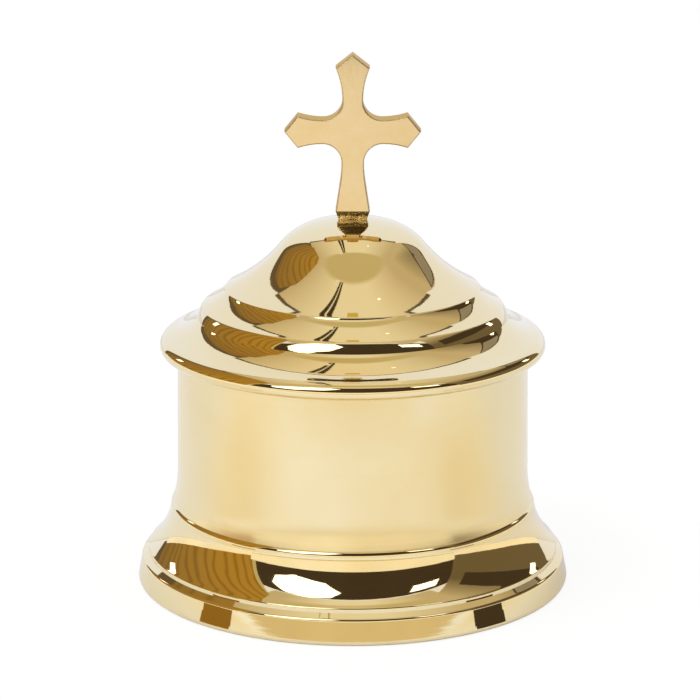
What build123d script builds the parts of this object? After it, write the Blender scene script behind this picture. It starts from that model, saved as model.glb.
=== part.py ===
from build123d import *
import os
from math import cos, hypot, radians, sin, sqrt

# A round covered pyx in gilt brass: a plain drum on a flared foot, closed by a stepped lid
# that lifts off by its cross. Sizes are in millimetres and angles in degrees. The origin is
# the centre of the ring that the foot stands on, with Z up and the cross facing -Y.

# Sheet metal and fits. Clearances are radial.
DRUM_SHEET = 1.2
FOOT_SHEET = 1.2
LID_SHEET = 1.1
BEZEL_SHEET = 1.0
LID_CLEARANCE = 0.25
HOLE_CLEARANCE = 0.2
THREAD_CLEARANCE = 0.05

# Drum: a wall that tapers very slightly towards its mouth and flares where it meets the foot.
DRUM_MOUTH_RADIUS = 38.27
DRUM_HEIGHT = 33.4
DRUM_TAPER = 0.35
DRUM_FLARE = 1.03
DRUM_FLARE_HEIGHT = 7.3
DRUM_LIP_ROUND = 0.3
DRUM_FLOOR_ROUND = 2.0

# Foot, from the table up: leaning band, bevel, small step, cove and rounded lip.
FOOT_RADIUS = 47.76
FOOT_HEIGHT = 18.2
BAND_HEIGHT = 5.6
BAND_LEAN = 1.07
BAND_ROUND = 1.0
FOOT_EDGE_ROUND = 0.9
BEVEL_WIDTH = 1.45
BEVEL_HEIGHT = 1.0
STEP_HEIGHT = 0.9
STEP_ROUND = 0.4
FOOT_COVE_RADIUS = 16.0
FOOT_LIP_WIDTH = 0.55
FOOT_LIP_HEIGHT = 1.3
FOOT_LIP_RADIUS = 1.6
TURNED_IN_EDGE = 3.0

# Fixing of the drum on the foot.
STUD_RADIUS = 3.0
STUD_LENGTH = 10.0
FOOT_WASHER_RADIUS = 11.0
FOOT_WASHER_THICKNESS = 1.2
NUT_SIDES = 6
NUT_ACROSS_FLATS = 10.0
NUT_HEIGHT = 5.0
NUT_CHAMFER = 0.5

# Lid rim, measured from the drum's mouth.
RIM_OVERHANG = 3.88
RIM_LOWER_ROUND = 1.7
RIM_SIDE_RADIUS = 1.95
RIM_SIDE_ANGLE = 35.0
RIM_HEIGHT = 4.0
RIM_EDGE_INSET = 2.05

# Lid steps from the outside in: a hollow ledge, a bulging step, a hollow slope and a small step.
# Each angle is the fall at the upper end of its curve.
LEDGE_WIDTH = 6.17
LEDGE_RISE = 4.0
LEDGE_ANGLE = 55.0
LEDGE_BEND_RADIUS = 7.0
LEDGE_BEND_ANGLE = 12.0
LOWER_STEP_INSET = 1.25
LOWER_STEP_RISE = 2.32
LOWER_STEP_ANGLE = 50.5
SLOPE_WIDTH = 4.76
SLOPE_RISE = 3.64
SLOPE_ANGLE = 54.0
SLOPE_BEND_RADIUS = 6.0
SLOPE_BEND_ANGLE = 10.0
UPPER_STEP_INSET = 0.22
UPPER_STEP_RISE = 0.36

# Lid dome, from the crown down to the end of its shoulder. A cove joins it to the upper step.
LID_HEIGHT = 29.54
CROWN_RADIUS = 34.5
CROWN_ANGLE = 13.7
SHOULDER_RADIUS = 14.4
SHOULDER_ANGLE = 50.5

# Bezel under the lid.
BEZEL_DEPTH = 6.0
BEZEL_LEAD_IN = 0.4

# Cross, measured from the crown.
CROSS_THICKNESS = 4.4
CROSS_BEVEL = 0.3
CROSS_FOOT_HEIGHT = 1.75
CROSS_FOOT_INSET = 0.7
CROSS_AXIS_HEIGHT = 19.3
CROSS_TOP_LENGTH = 16.73
CROSS_ARM_LENGTH = 14.72
CROSS_POINT = 2.9
CROSS_CROTCH_RADIUS = 4.1
TOP_WAIST = 4.45
TOP_END = 7.36
ARM_WAIST = 5.38
ARM_END = 7.14
STEM_WAIST = 4.86
STEM_END = 7.44
STEM_BEND_DROP = 2.2
STEM_BEND_RADIUS = 28.0

# Fixing of the cross on the lid.
FINIAL_SCREW_RADIUS = 1.25
FINIAL_SCREW_GRIP = 6.0
FINIAL_HOLE_SPARE = 1.0
FINIAL_HEAD_RADIUS = 2.5
FINIAL_HEAD_HEIGHT = 1.6
FINIAL_SLOT_WIDTH = 0.7
FINIAL_SLOT_DEPTH = 0.8
FINIAL_WASHER_RADIUS = 4.5
FINIAL_WASHER_THICKNESS = 1.2

# Places that several pieces share.
DRUM_BASE_RADIUS = DRUM_MOUTH_RADIUS + DRUM_TAPER + DRUM_FLARE
SEAT_Z = FOOT_HEIGHT + DRUM_HEIGHT
CROWN_Z = SEAT_Z + LID_HEIGHT
BEZEL_RADIUS = DRUM_MOUTH_RADIUS - DRUM_SHEET - LID_CLEARANCE
RIM_RADIUS = DRUM_MOUTH_RADIUS + RIM_OVERHANG
FOOT_WEB_UNDERSIDE = FOOT_HEIGHT - FOOT_SHEET
FOOT_WASHER_UNDERSIDE = FOOT_WEB_UNDERSIDE - FOOT_WASHER_THICKNESS
CROWN_UNDERSIDE = CROWN_Z - LID_SHEET
FINIAL_WASHER_UNDERSIDE = CROWN_UNDERSIDE - FINIAL_WASHER_THICKNESS
CROSS_STEM_END_Z = CROWN_Z + CROSS_FOOT_HEIGHT
CROSS_AXIS_Z = CROWN_Z + CROSS_AXIS_HEIGHT


def section(*edges):
    """Flat half section, radius along X and height along Y, from edges that close a loop."""
    return make_face(Curve() + list(edges))


def inside_of(outside, sheet):
    """Half section of the hollow that a sheet leaves under its outside."""
    whole = outside + mirror(outside, Plane.YZ)
    reach = 2 * FOOT_RADIUS
    right_half = Pos(reach / 2, reach / 2) * Rectangle(reach, 2 * reach)
    return offset(whole, -sheet) & right_half


def block(r_in, r_out, z_low, z_high):
    """Rectangle of a half section."""
    return Pos((r_in + r_out) / 2, (z_low + z_high) / 2) * Rectangle(r_out - r_in, z_high - z_low)


def turned(half_section):
    """Solid of revolution about Z of a half section."""
    return revolve(Plane.XZ * half_section, Axis.Z)


def ring(r_in, r_out, z_low, z_high):
    """Plain turned ring, or a disc where the inner radius is zero."""
    return turned(block(r_in, r_out, z_low, z_high))


def drum_outside(above_mouth):
    """Half section of the drum's outside, with its wall carried on past the mouth."""
    wall_height = DRUM_HEIGHT - DRUM_FLARE_HEIGHT
    lean = DRUM_TAPER / wall_height
    top = (DRUM_MOUTH_RADIUS - lean * above_mouth, SEAT_Z + above_mouth)
    flare_top = (DRUM_MOUTH_RADIUS + DRUM_TAPER, FOOT_HEIGHT + DRUM_FLARE_HEIGHT)
    base = (DRUM_BASE_RADIUS, FOOT_HEIGHT)
    flare = TangentArc(flare_top, base, tangent=(lean, -1))
    return section(
        Polyline((0, FOOT_HEIGHT), (0, top[1]), top, flare_top),
        flare,
        Line(base, (0, FOOT_HEIGHT)),
    )


def drum():
    hollow = inside_of(drum_outside(2 * DRUM_SHEET), DRUM_SHEET)
    floor_corner = (DRUM_BASE_RADIUS, FOOT_HEIGHT + DRUM_SHEET)
    hollow = fillet(hollow.vertices().sort_by_distance(floor_corner)[0], DRUM_FLOOR_ROUND)
    cup = turned(drum_outside(0) - hollow)
    mouth = cup.faces().sort_by(Axis.Z)[-1]
    return fillet(mouth.edges(), min(DRUM_LIP_ROUND, DRUM_SHEET / 3))


def foot_outside():
    """Half section of the foot's outside, from the table up."""
    band_bottom = (FOOT_RADIUS, 0)
    band_top = (FOOT_RADIUS - BAND_LEAN, BAND_HEIGHT)
    bevel_top = (band_top[0] - BEVEL_WIDTH, BAND_HEIGHT + BEVEL_HEIGHT)
    step_top = (bevel_top[0], bevel_top[1] + STEP_HEIGHT)
    lip_bottom = (DRUM_BASE_RADIUS + FOOT_LIP_WIDTH, FOOT_HEIGHT - FOOT_LIP_HEIGHT)
    lip_top = (DRUM_BASE_RADIUS, FOOT_HEIGHT)
    outline = section(
        Polyline((0, 0), band_bottom, band_top, bevel_top, step_top),
        RadiusArc(step_top, lip_bottom, FOOT_COVE_RADIUS),
        RadiusArc(lip_bottom, lip_top, -FOOT_LIP_RADIUS),
        Polyline(lip_top, (0, FOOT_HEIGHT), (0, 0)),
    )
    corners = ((band_bottom, FOOT_EDGE_ROUND), (band_top, BAND_ROUND), (step_top, STEP_ROUND))
    for corner, radius in corners:
        outline = fillet(outline.vertices().sort_by_distance(corner)[0], radius)
    return outline


def foot():
    outside = foot_outside()
    hollow = inside_of(outside, FOOT_SHEET)
    opening = block(0, FOOT_RADIUS - FOOT_SHEET - TURNED_IN_EDGE, 0, 2 * FOOT_SHEET)
    stud_hole = block(0, STUD_RADIUS + HOLE_CLEARANCE, FOOT_WEB_UNDERSIDE, FOOT_HEIGHT)
    return turned(outside - hollow - opening - stud_hole)


def drum_stud():
    return ring(0, STUD_RADIUS, FOOT_HEIGHT - STUD_LENGTH, FOOT_HEIGHT)


def foot_washer():
    hole = STUD_RADIUS + HOLE_CLEARANCE
    return ring(hole, FOOT_WASHER_RADIUS, FOOT_WASHER_UNDERSIDE, FOOT_WEB_UNDERSIDE)


def foot_nut():
    low = FOOT_WASHER_UNDERSIDE - NUT_HEIGHT
    hexagon = RegularPolygon(NUT_ACROSS_FLATS / 2, NUT_SIDES, major_radius=False)
    hexagon -= Circle(STUD_RADIUS + THREAD_CLEARANCE)
    nut = Pos(0, 0, low) * extrude(hexagon, NUT_HEIGHT)
    corner_radius = NUT_ACROSS_FLATS / 2 / cos(radians(180 / NUT_SIDES))
    cone = section(Polyline(
        (0, low),
        (corner_radius - NUT_CHAMFER, low),
        (corner_radius, low + NUT_CHAMFER),
        (corner_radius, FOOT_WASHER_UNDERSIDE),
        (0, FOOT_WASHER_UNDERSIDE),
        (0, low),
    ))
    return nut & turned(cone)


def downhill(angle):
    """Direction in a half section that falls outwards at an angle to the level."""
    return cos(radians(angle)), -sin(radians(angle))


def lid_outside():
    """Half section of the lid's outside, from the crown down to the drum's mouth."""
    rim_bottom = (RIM_RADIUS - RIM_LOWER_ROUND, SEAT_Z)
    rim_widest = (RIM_RADIUS, SEAT_Z + RIM_LOWER_ROUND)
    rim_edge = (RIM_RADIUS - RIM_EDGE_INSET, SEAT_Z + RIM_HEIGHT)
    lower_foot = (rim_edge[0] - LEDGE_WIDTH, rim_edge[1] + LEDGE_RISE)
    lower_corner = (lower_foot[0] - LOWER_STEP_INSET, lower_foot[1] + LOWER_STEP_RISE)
    upper_foot = (lower_corner[0] - SLOPE_WIDTH, lower_corner[1] + SLOPE_RISE)
    upper_corner = (upper_foot[0] - UPPER_STEP_INSET, upper_foot[1] + UPPER_STEP_RISE)

    crown = JernArc((0, CROWN_Z), (1, 0), CROWN_RADIUS, -CROWN_ANGLE)
    shoulder = JernArc(crown @ 1, crown % 1, SHOULDER_RADIUS, CROWN_ANGLE - SHOULDER_ANGLE)
    slope_bend = JernArc(upper_foot, downhill(SLOPE_ANGLE), SLOPE_BEND_RADIUS, SLOPE_BEND_ANGLE)
    ledge_bend = JernArc(lower_foot, downhill(LEDGE_ANGLE), LEDGE_BEND_RADIUS, LEDGE_BEND_ANGLE)
    rim_side = JernArc(rim_widest, (0, 1), RIM_SIDE_RADIUS, RIM_SIDE_ANGLE)
    return section(
        crown,
        shoulder,
        TangentArc(shoulder @ 1, upper_corner, tangent=shoulder % 1),
        Line(upper_corner, upper_foot),
        slope_bend,
        TangentArc(slope_bend @ 1, lower_corner, tangent=slope_bend % 1),
        TangentArc(lower_corner, lower_foot, tangent=downhill(LOWER_STEP_ANGLE)),
        ledge_bend,
        TangentArc(ledge_bend @ 1, rim_edge, tangent=ledge_bend % 1),
        TangentArc(rim_side @ 1, rim_edge, tangent=rim_side % 1),
        rim_side,
        RadiusArc(rim_widest, rim_bottom, RIM_LOWER_ROUND),
        Polyline(rim_bottom, (0, SEAT_Z), (0, CROWN_Z)),
    )


def lid_shell():
    outside = lid_outside()
    hollow = inside_of(outside, LID_SHEET)
    mouth = block(0, BEZEL_RADIUS, SEAT_Z, SEAT_Z + 2 * LID_SHEET)
    screw_hole = block(0, FINIAL_SCREW_RADIUS + HOLE_CLEARANCE, CROWN_UNDERSIDE - LID_SHEET, CROWN_Z)
    return turned(outside - hollow - mouth - screw_hole)


def lid_bezel():
    bezel = ring(BEZEL_RADIUS - BEZEL_SHEET, BEZEL_RADIUS, SEAT_Z - BEZEL_DEPTH, SEAT_Z + LID_SHEET)
    entry = bezel.edges().group_by(Axis.Z)[0].sort_by(SortBy.LENGTH)[-1]
    return chamfer(entry, min(BEZEL_LEAD_IN, BEZEL_SHEET / 2))


def cross_outline():
    """Right half of the cross, X across and Y up, with the axis of its arms at Y zero."""
    radius = CROSS_CROTCH_RADIUS
    top_waist = (TOP_WAIST / 2, ARM_WAIST / 2 + radius)
    arm_upper = (TOP_WAIST / 2 + radius, ARM_WAIST / 2)
    arm_lower = (STEM_WAIST / 2 + radius, -ARM_WAIST / 2)
    stem_waist = (STEM_WAIST / 2, -ARM_WAIST / 2 - radius)
    stem_bend = (STEM_WAIST / 2, stem_waist[1] - STEM_BEND_DROP)
    stem_end = (STEM_END / 2, CROSS_STEM_END_Z - CROSS_AXIS_Z)
    top_tip = (0, CROSS_TOP_LENGTH)
    top_corner = (TOP_END / 2, CROSS_TOP_LENGTH - CROSS_POINT)
    arm_tip = (CROSS_ARM_LENGTH, 0)
    arm_corner_x = CROSS_ARM_LENGTH - CROSS_POINT
    arm_upper_corner = (arm_corner_x, ARM_END / 2)
    arm_lower_corner = (arm_corner_x, -ARM_END / 2)
    return section(
        Line(top_tip, top_corner),
        TangentArc(top_waist, top_corner, tangent=(0, 1)),
        RadiusArc(top_waist, arm_upper, -radius),
        TangentArc(arm_upper, arm_upper_corner, tangent=(1, 0)),
        Polyline(arm_upper_corner, arm_tip, arm_lower_corner),
        TangentArc(arm_lower, arm_lower_corner, tangent=(1, 0)),
        RadiusArc(arm_lower, stem_waist, -radius),
        FilletPolyline(stem_waist, stem_bend, stem_end, radius=STEM_BEND_RADIUS),
        Polyline(stem_end, (0, stem_end[1]), top_tip),
    )


def bevelled_rectangle(width, depth):
    """Rectangle with its corners cut like the edges of the cross."""
    return chamfer(Rectangle(width, depth).vertices(), CROSS_BEVEL)


def cross_foot():
    """Tapered foot under the stem, which narrows on all four sides down to the crown."""
    top = bevelled_rectangle(STEM_END, CROSS_THICKNESS)
    bottom = bevelled_rectangle(STEM_END - 2 * CROSS_FOOT_INSET, CROSS_THICKNESS - 2 * CROSS_FOOT_INSET)
    reach = hypot(STEM_END / 2, CROSS_THICKNESS / 2)
    crown_drop = CROWN_RADIUS - sqrt(CROWN_RADIUS ** 2 - reach ** 2)
    return loft([Pos(0, 0, CROWN_Z - crown_drop) * bottom, Pos(0, 0, CROSS_STEM_END_Z) * top])


def cross_finial():
    half = cross_outline()
    whole = half + mirror(half, Plane.YZ)
    upright = Plane((0, 0, CROSS_AXIS_Z), x_dir=(1, 0, 0), z_dir=(0, -1, 0)) * whole
    cross = extrude(upright, CROSS_THICKNESS / 2, both=True)
    for face in (cross.faces().sort_by(Axis.Y)[0], cross.faces().sort_by(Axis.Y)[-1]):
        rim = face.edges().sort_by(Axis.Z)[1:]
        cross = chamfer(rim, CROSS_BEVEL)
    cross += cross_foot()
    hole_top = CROWN_Z + FINIAL_SCREW_GRIP + FINIAL_HOLE_SPARE
    cross -= ring(0, FINIAL_SCREW_RADIUS + THREAD_CLEARANCE, SEAT_Z, hole_top)
    return cross - turned(lid_outside())


def finial_screw():
    low = FINIAL_WASHER_UNDERSIDE - FINIAL_HEAD_HEIGHT
    tip = CROWN_Z + FINIAL_SCREW_GRIP
    head = ring(0, FINIAL_HEAD_RADIUS, low, FINIAL_WASHER_UNDERSIDE)
    slot = Pos(0, 0, low) * Box(3 * FINIAL_HEAD_RADIUS, FINIAL_SLOT_WIDTH, 2 * FINIAL_SLOT_DEPTH)
    shank = ring(0, FINIAL_SCREW_RADIUS, FINIAL_WASHER_UNDERSIDE, tip)
    return head - slot + shank


def finial_washer():
    """Cupped washer whose upper face follows the underside of the crown."""
    hole = FINIAL_SCREW_RADIUS + HOLE_CLEARANCE
    blank = ring(hole, FINIAL_WASHER_RADIUS, FINIAL_WASHER_UNDERSIDE, CROWN_Z)
    return blank & turned(inside_of(lid_outside(), LID_SHEET))


PIECES = (
    drum,
    foot,
    drum_stud,
    foot_washer,
    foot_nut,
    lid_shell,
    lid_bezel,
    cross_finial,
    finial_screw,
    finial_washer,
)

os.makedirs("parts", exist_ok=True)
for piece in PIECES:
    solid = piece()
    export_step(solid, os.path.join("parts", piece.__name__ + ".step"))
    print(piece.__name__, round(solid.volume, 1))
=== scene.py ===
from math import asin, atan2, ceil, copysign, cos, hypot, pi, radians, sin, sqrt, tan, tau

import bmesh
import bpy
from bpy.props import FloatProperty, FloatVectorProperty, IntProperty, PointerProperty
from bpy.types import Operator, Panel, PropertyGroup
from mathutils import Matrix, Vector


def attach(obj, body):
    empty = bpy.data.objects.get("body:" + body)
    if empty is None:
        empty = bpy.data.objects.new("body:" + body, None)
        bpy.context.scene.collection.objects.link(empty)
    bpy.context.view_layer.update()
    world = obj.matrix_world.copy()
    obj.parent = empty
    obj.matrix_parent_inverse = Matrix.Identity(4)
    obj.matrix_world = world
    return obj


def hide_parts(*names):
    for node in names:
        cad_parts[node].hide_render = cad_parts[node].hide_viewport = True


bl_info = {
    "name": "Covered Pyx",
    "version": (1, 0, 0),
    "blender": (4, 5, 0),
    "location": "View3D > Sidebar > Pyx",
    "description": "Dresses the solids of a gilt covered pyx and sets its stage",
    "category": "Object",
}

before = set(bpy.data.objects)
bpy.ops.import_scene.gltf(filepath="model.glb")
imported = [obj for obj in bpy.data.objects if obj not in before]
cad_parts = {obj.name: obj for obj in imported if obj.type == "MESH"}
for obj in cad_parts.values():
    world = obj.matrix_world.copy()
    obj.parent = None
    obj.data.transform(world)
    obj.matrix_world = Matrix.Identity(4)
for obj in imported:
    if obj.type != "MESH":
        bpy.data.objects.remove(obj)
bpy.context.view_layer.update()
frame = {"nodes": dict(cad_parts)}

MM = 0.001
MERGE_DISTANCE = 0.001 * MM

# How finely arcs and roundings are divided, and the angles up to which faces shade as one.
ARC_STEP = radians(4)
ARC_SAG = 0.004 * MM
RING_STEPS = 8
WEAR_STEPS = 2
SMOOTH_ANGLE = radians(24)
TURNED_SMOOTH_ANGLE = radians(12)

# Shares of a straight run where it is divided, so that rounded ends do not shade its middle.
LONG_RUN = (0.03, 0.12, 0.5, 0.88, 0.97, 1.0)
PLAIN_RUN = (1.0,)

# Rows of points in a turn of thread, and its depth as a share of the pitch.
THREAD_ROWS = 10
THREAD_DEPTH = 0.55

# The nut's sides, the cuts along each, and the slope at which its lower corners are turned off.
NUT_SIDES = 6
NUT_CUTS = 7
NUT_SLOPE = radians(30)

# Rounding of the bezel's edges, as a share of its sheet.
BEZEL_EASE = 0.2

# Places of the colour sockets among those of a mix node.
MIX_FACTOR, MIX_FIRST, MIX_SECOND, MIX_RESULT = 0, 6, 7, 2

# Where most of a noise pattern lies, a fall from one to nought, and the turn of brushed grain.
NOISE_SPAN, FALL, BRUSH_TURN = (0.3, 0.7), (1.0, 0.0), 0.25

# How close the patterns of the surfaces are, per metre, and how deep those in the metal are.
SPUN_RINGS, SPUN_SMUDGES, GILT_RELIEF = 1500.0, 34.0, 0.05 * MM
SATIN_GRAIN, SATIN_CLOUDS, CAST_PITS = (5000, 5000, 260), 190.0, 2600.0
BRASS_RINGS, BRASS_PATCHES, BRASS_RELIEF = 2600.0, 420.0, 0.04 * MM
FLOOR_SPECKS, CARD_CLOUDS = 9.0, 6.0
BOARD_STRETCH, BOARD_WAVES, BOARD_SWAY = (1, 1, 0.35), 5.0, 7.0

# How the patterns change the roughness, as shares of it.
SMUDGE_GLOSS, RING_GLOSS, GRAIN_GLOSS = (0.88, 1.22), (0.9, 1.1), (0.7, 1.3)
PATCH_GLOSS = (0.7333, 1.5)

# How strong the relief of the satin and the casting is, and how deep pits are beside grain.
SATIN_BUMP, PIT_DEPTH = (0.12, 0.9), 6.0

# How far the cross's faces lean at its worn edges, and how much rougher it is there.
WEAR_SPAN, WEAR_GLOSS = (0.2, 0.9), (0.45, 0.0)

# Heights from the top of the cross's foot, where its casting ends and where its painted shade is
# darkest.
CAST_END, CAST_SHADE = (-0.05 * MM, 0.15 * MM), (-1.5 * MM, -0.7 * MM)

# The floor, and the patches at its sides where painted warm bounce light and shade from the gilding
# lie, in metres.
FLOOR_REACH, FLOOR_WHITE = 2.4, 0.85
BOUNCE_ASIDE, BOUNCE_FORWARD, BOUNCE_REACH = 0.14, 0.06, (0.02, 0.09)
BACK_BLEND = (-0.08, 0.02)

# The soft lamp above, the light of the cards and the camera.
LAMP_SIZE, LAMP_PLACE, LAMP_AIM = 0.5, (-0.35, -0.25, 0.8), Vector((0, 0, 0.04))
LAMP_GLOW, CARD_DIM, WHITE = 3.0, 0.7, (1.0, 1.0, 1.0)
BIG_LAMP_PLACE, BIG_LAMP_RADIUS, BIG_LAMP_SIDES = Vector((-0.306, 0.48)), 0.245, 8
SENSOR_WIDTH, NEAR_CLIP = 36.0, 0.01

# Planes of the tent that the metal mirrors, in metres.
CEILING, UNDER_CEILING, FLAP = 0.75, 0.746, 0.25
FRONT, FRONT_LAMPS, LIP = -0.45, -0.44, -0.24
SIDE, SIDE_BEHIND, SIDE_NEARER, SIDE_PANE, SIDE_LAMPS = 0.45, 0.46, 0.445, 0.442, 0.44

# The ceiling from above: its back edge, front, seam, slits and the oval of painted shadow on its
# cloth.
BACK_HALF = ((0.0, 0.29), (0.16, 0.295), (0.28, 0.315), (0.38, 0.355), (0.46, 0.41))
CEILING_FRONT = ((0.6, 0.45), (0.6, FRONT), (-0.6, FRONT), (-0.6, 0.45))
SEAM_WIDTH, SEAM_SPREAD = 0.014, 2.5
SLIT_LEFT = ((-0.113, -0.11), (-0.1, -0.11), (-0.114, 0.25), (-0.136, 0.25))
SLIT_RIGHT = ((-0.095, -0.11), (-0.083, -0.11), (-0.083, 0.25), (-0.106, 0.25))
OVAL_SHIFT, OVAL_SHRINK = (-0.04, 0.215, -CEILING), (1 / 0.5, 1 / 0.115, 0)
OVAL_EDGE = (0.75, 1.1)

# The sides of the tent, each as Y and Z.
BOARD = (
    (-0.25, 0.03), (-0.25, 0.62), (-0.1, 0.72), (0.2, 0.75), (0.36, 0.66), (0.4, 0.5),
    (0.43, 0.34), (0.5, 0.2), (0.5, 0.03))
BOARD_FRAME = (
    (-0.25, 0.03), (-0.25, 0.6), (-0.1, 0.7), (0.2, 0.73), (0.41, 0.75), (0.48, 0.52),
    (0.56, 0.33), (0.6, 0.2), (0.58, 0.025))
RIGHT_CLOTH = (
    (-0.25, 0.03), (-0.25, 0.75), (0.38, 0.75), (0.44, 0.6), (0.48, 0.42), (0.48, 0.33),
    (0.5, 0.2), (0.5, 0.03))
OPENING = (
    (-0.16, 0.22), (-0.16, 0.37), (0.22, 0.37), (0.3, 0.455), (0.41, 0.61), (0.45, 0.48),
    (0.47, 0.4), (0.46, 0.33), (0.36, 0.22))
PANE = (
    (0.26, 0.385), (0.315, 0.455), (0.405, 0.585), (0.432, 0.48), (0.45, 0.4), (0.44, 0.33),
    (0.4, 0.29))

# The post at the left of the front, and the two ends and the height of each small block.
POST = ((-SIDE, -0.25, 0.03), (-SIDE, -0.25, 0.7), (-0.765, FRONT, 0.7), (-0.765, FRONT, 0.03))
BLOCKS = (
    ((0.0425, -0.0353), (0.0354, -0.0435), 0.0029),
    ((0.0742, -0.0385), (0.0644, -0.0568), 0.0044))


def setting(maker, default, description, **limits):
    """A property that has no name yet."""
    return maker, dict(default=default, description=description, **limits)


def size(millimetres, description):
    """A length, written in millimetres and kept in metres."""
    return setting(FloatProperty, millimetres * MM, description, unit="LENGTH", precision=5)


def angle(degrees, description):
    """An angle, written in degrees."""
    return setting(
        FloatProperty, radians(degrees), description, subtype="ANGLE", unit="ROTATION")


def colour(value, description):
    """A colour."""
    return setting(
        FloatVectorProperty, value, description, subtype="COLOR", size=3, min=0.0, max=8.0)


def share(value, description):
    """A plain number from nought to one."""
    return setting(FloatProperty, value, description, subtype="FACTOR", min=0.0, max=1.0)


def titled(group):
    """Makes the properties of a group, each named after its own identifier."""
    for key, (maker, settings) in group.__annotations__.items():
        title = key.replace("_", " ").capitalize()
        group.__annotations__[key] = maker(name=title, **settings)
    return group


@titled
class PyxDrumSizes(PropertyGroup):
    """Sizes of the drum."""

    sheet: size(1.2, "Thickness of the drum's wall and floor")
    mouth_radius: size(38.27, "Outer radius at the mouth")
    mouth_height: size(51.6, "Height of the mouth above the table")
    floor_height: size(18.2, "Height of the floor's underside above the table")
    taper: size(0.35, "How much wider the wall is where it starts to flare")
    flare: size(1.03, "How much the wall flares at its bottom")
    flare_height: size(7.3, "Height of the flared part of the wall")
    lip_round: size(0.3, "Radius of the edges of the mouth")
    floor_round: size(2.0, "Radius between the floor and the wall inside")


@titled
class PyxFootSizes(PropertyGroup):
    """Sizes of the foot."""

    sheet: size(1.2, "Thickness of the foot's sheet")
    radius: size(47.755, "Radius at the table, before its edge is rounded")
    edge_round: size(0.9, "Radius of the edge at the table")
    band_height: size(5.6, "Height of the leaning band")
    band_lean: size(1.07, "How far the band leans in")
    band_round: size(1.0, "Radius at the top of the band")
    bevel_width: size(1.45, "Width of the bevel above the band")
    bevel_height: size(1.0, "Height of the bevel above the band")
    step_height: size(0.9, "Height of the small step under the cove")
    step_ease: size(0.22, "Width of the rounding on the step's edge")
    cove_radius: size(16.0, "Radius of the hollow cove")
    lip_width: size(0.55, "How far the lip stands out under the drum")
    lip_height: size(1.3, "Height of the lip under the drum")
    lip_radius: size(1.6, "Radius of the lip's section")
    turned_in: size(3.0, "Width of the edge that is turned in below")
    hole_radius: size(3.2, "Radius of the hole for the stud")


@titled
class PyxLidSizes(PropertyGroup):
    """Sizes of the lid and its bezel."""

    sheet: size(1.1, "Thickness of the lid's sheet")
    rim_radius: size(42.15, "Greatest radius of the rim")
    rim_round: size(1.7, "Radius under the rim")
    rim_side_radius: size(1.95, "Radius above the rim's widest place")
    rim_side_angle: angle(35, "How far the rim bends in above its widest place")
    rim_height: size(4.0, "Height of the rim's upper edge above the drum's mouth")
    rim_inset: size(2.05, "How far the rim's upper edge lies in")
    ledge_width: size(6.17, "Width of the hollow ledge above the rim")
    ledge_rise: size(4.0, "Rise of the ledge")
    ledge_angle: angle(55, "Slope of the ledge where it leaves the lower step")
    ledge_bend_radius: size(7.0, "Radius of the bend at the top of the ledge")
    ledge_bend_angle: angle(12, "How far the ledge bends at its top")
    lower_inset: size(1.25, "How far the lower step leans in")
    lower_rise: size(2.32, "Height of the lower step")
    lower_angle: angle(50.5, "Slope of the lower step under its corner")
    slope_width: size(4.76, "Width of the hollow slope between the steps")
    slope_rise: size(3.64, "Rise of the slope between the steps")
    slope_angle: angle(54, "Slope of the hollow where it leaves the upper step")
    slope_bend_radius: size(6.0, "Radius of the bend at the top of the slope")
    slope_bend_angle: angle(10, "How far the slope bends at its top")
    upper_inset: size(0.22, "How far the upper step leans in")
    upper_rise: size(0.36, "Height of the upper step")
    corner_ease: size(0.18, "Width of the rounding on the corners of the steps")
    height: size(29.54, "Height of the crown above the drum's mouth")
    crown_radius: size(34.5, "Radius of the crown's section")
    crown_angle: angle(13.7, "Slope where the crown ends")
    shoulder_radius: size(14.4, "Radius of the shoulder's section")
    shoulder_angle: angle(50.5, "Slope where the shoulder ends")
    hole_radius: size(1.45, "Radius of the hole for the screw of the cross")
    bezel_radius: size(36.82, "Outer radius of the bezel")
    bezel_sheet: size(1.0, "Thickness of the bezel")
    bezel_depth: size(6.0, "How far the bezel reaches into the drum")
    bezel_lead_in: size(0.4, "Chamfer at the bezel's lower edge")


@titled
class PyxCrossSizes(PropertyGroup):
    """Sizes of the cross."""

    thickness: size(4.4, "Thickness of the cross")
    bevel: size(0.3, "Width of the bevel along its edges")
    edge_wear: size(0.06, "Rounding of the bevel's own edges")
    axis_height: size(19.3, "Height of the arms' axis above the crown")
    top_length: size(16.73, "Length of the top arm from the axis")
    arm_length: size(14.72, "Length of a side arm from the axis")
    point: size(2.9, "Length of the pointed ends")
    crotch: size(4.1, "Radius between the arms")
    top_waist: size(4.45, "Least width of the top arm")
    top_end: size(7.36, "Greatest width of the top arm")
    arm_waist: size(5.38, "Least width of a side arm")
    arm_end: size(7.14, "Greatest width of a side arm")
    stem_waist: size(4.86, "Least width of the stem")
    stem_end: size(7.44, "Greatest width of the stem")
    bend_drop: size(2.2, "How far below its waist the stem starts to widen")
    bend_radius: size(28.0, "Radius of the stem's bend")
    foot_height: size(1.75, "Height of the tapered foot above the crown")
    foot_inset: size(0.7, "How much the foot tapers on each side")


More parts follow.
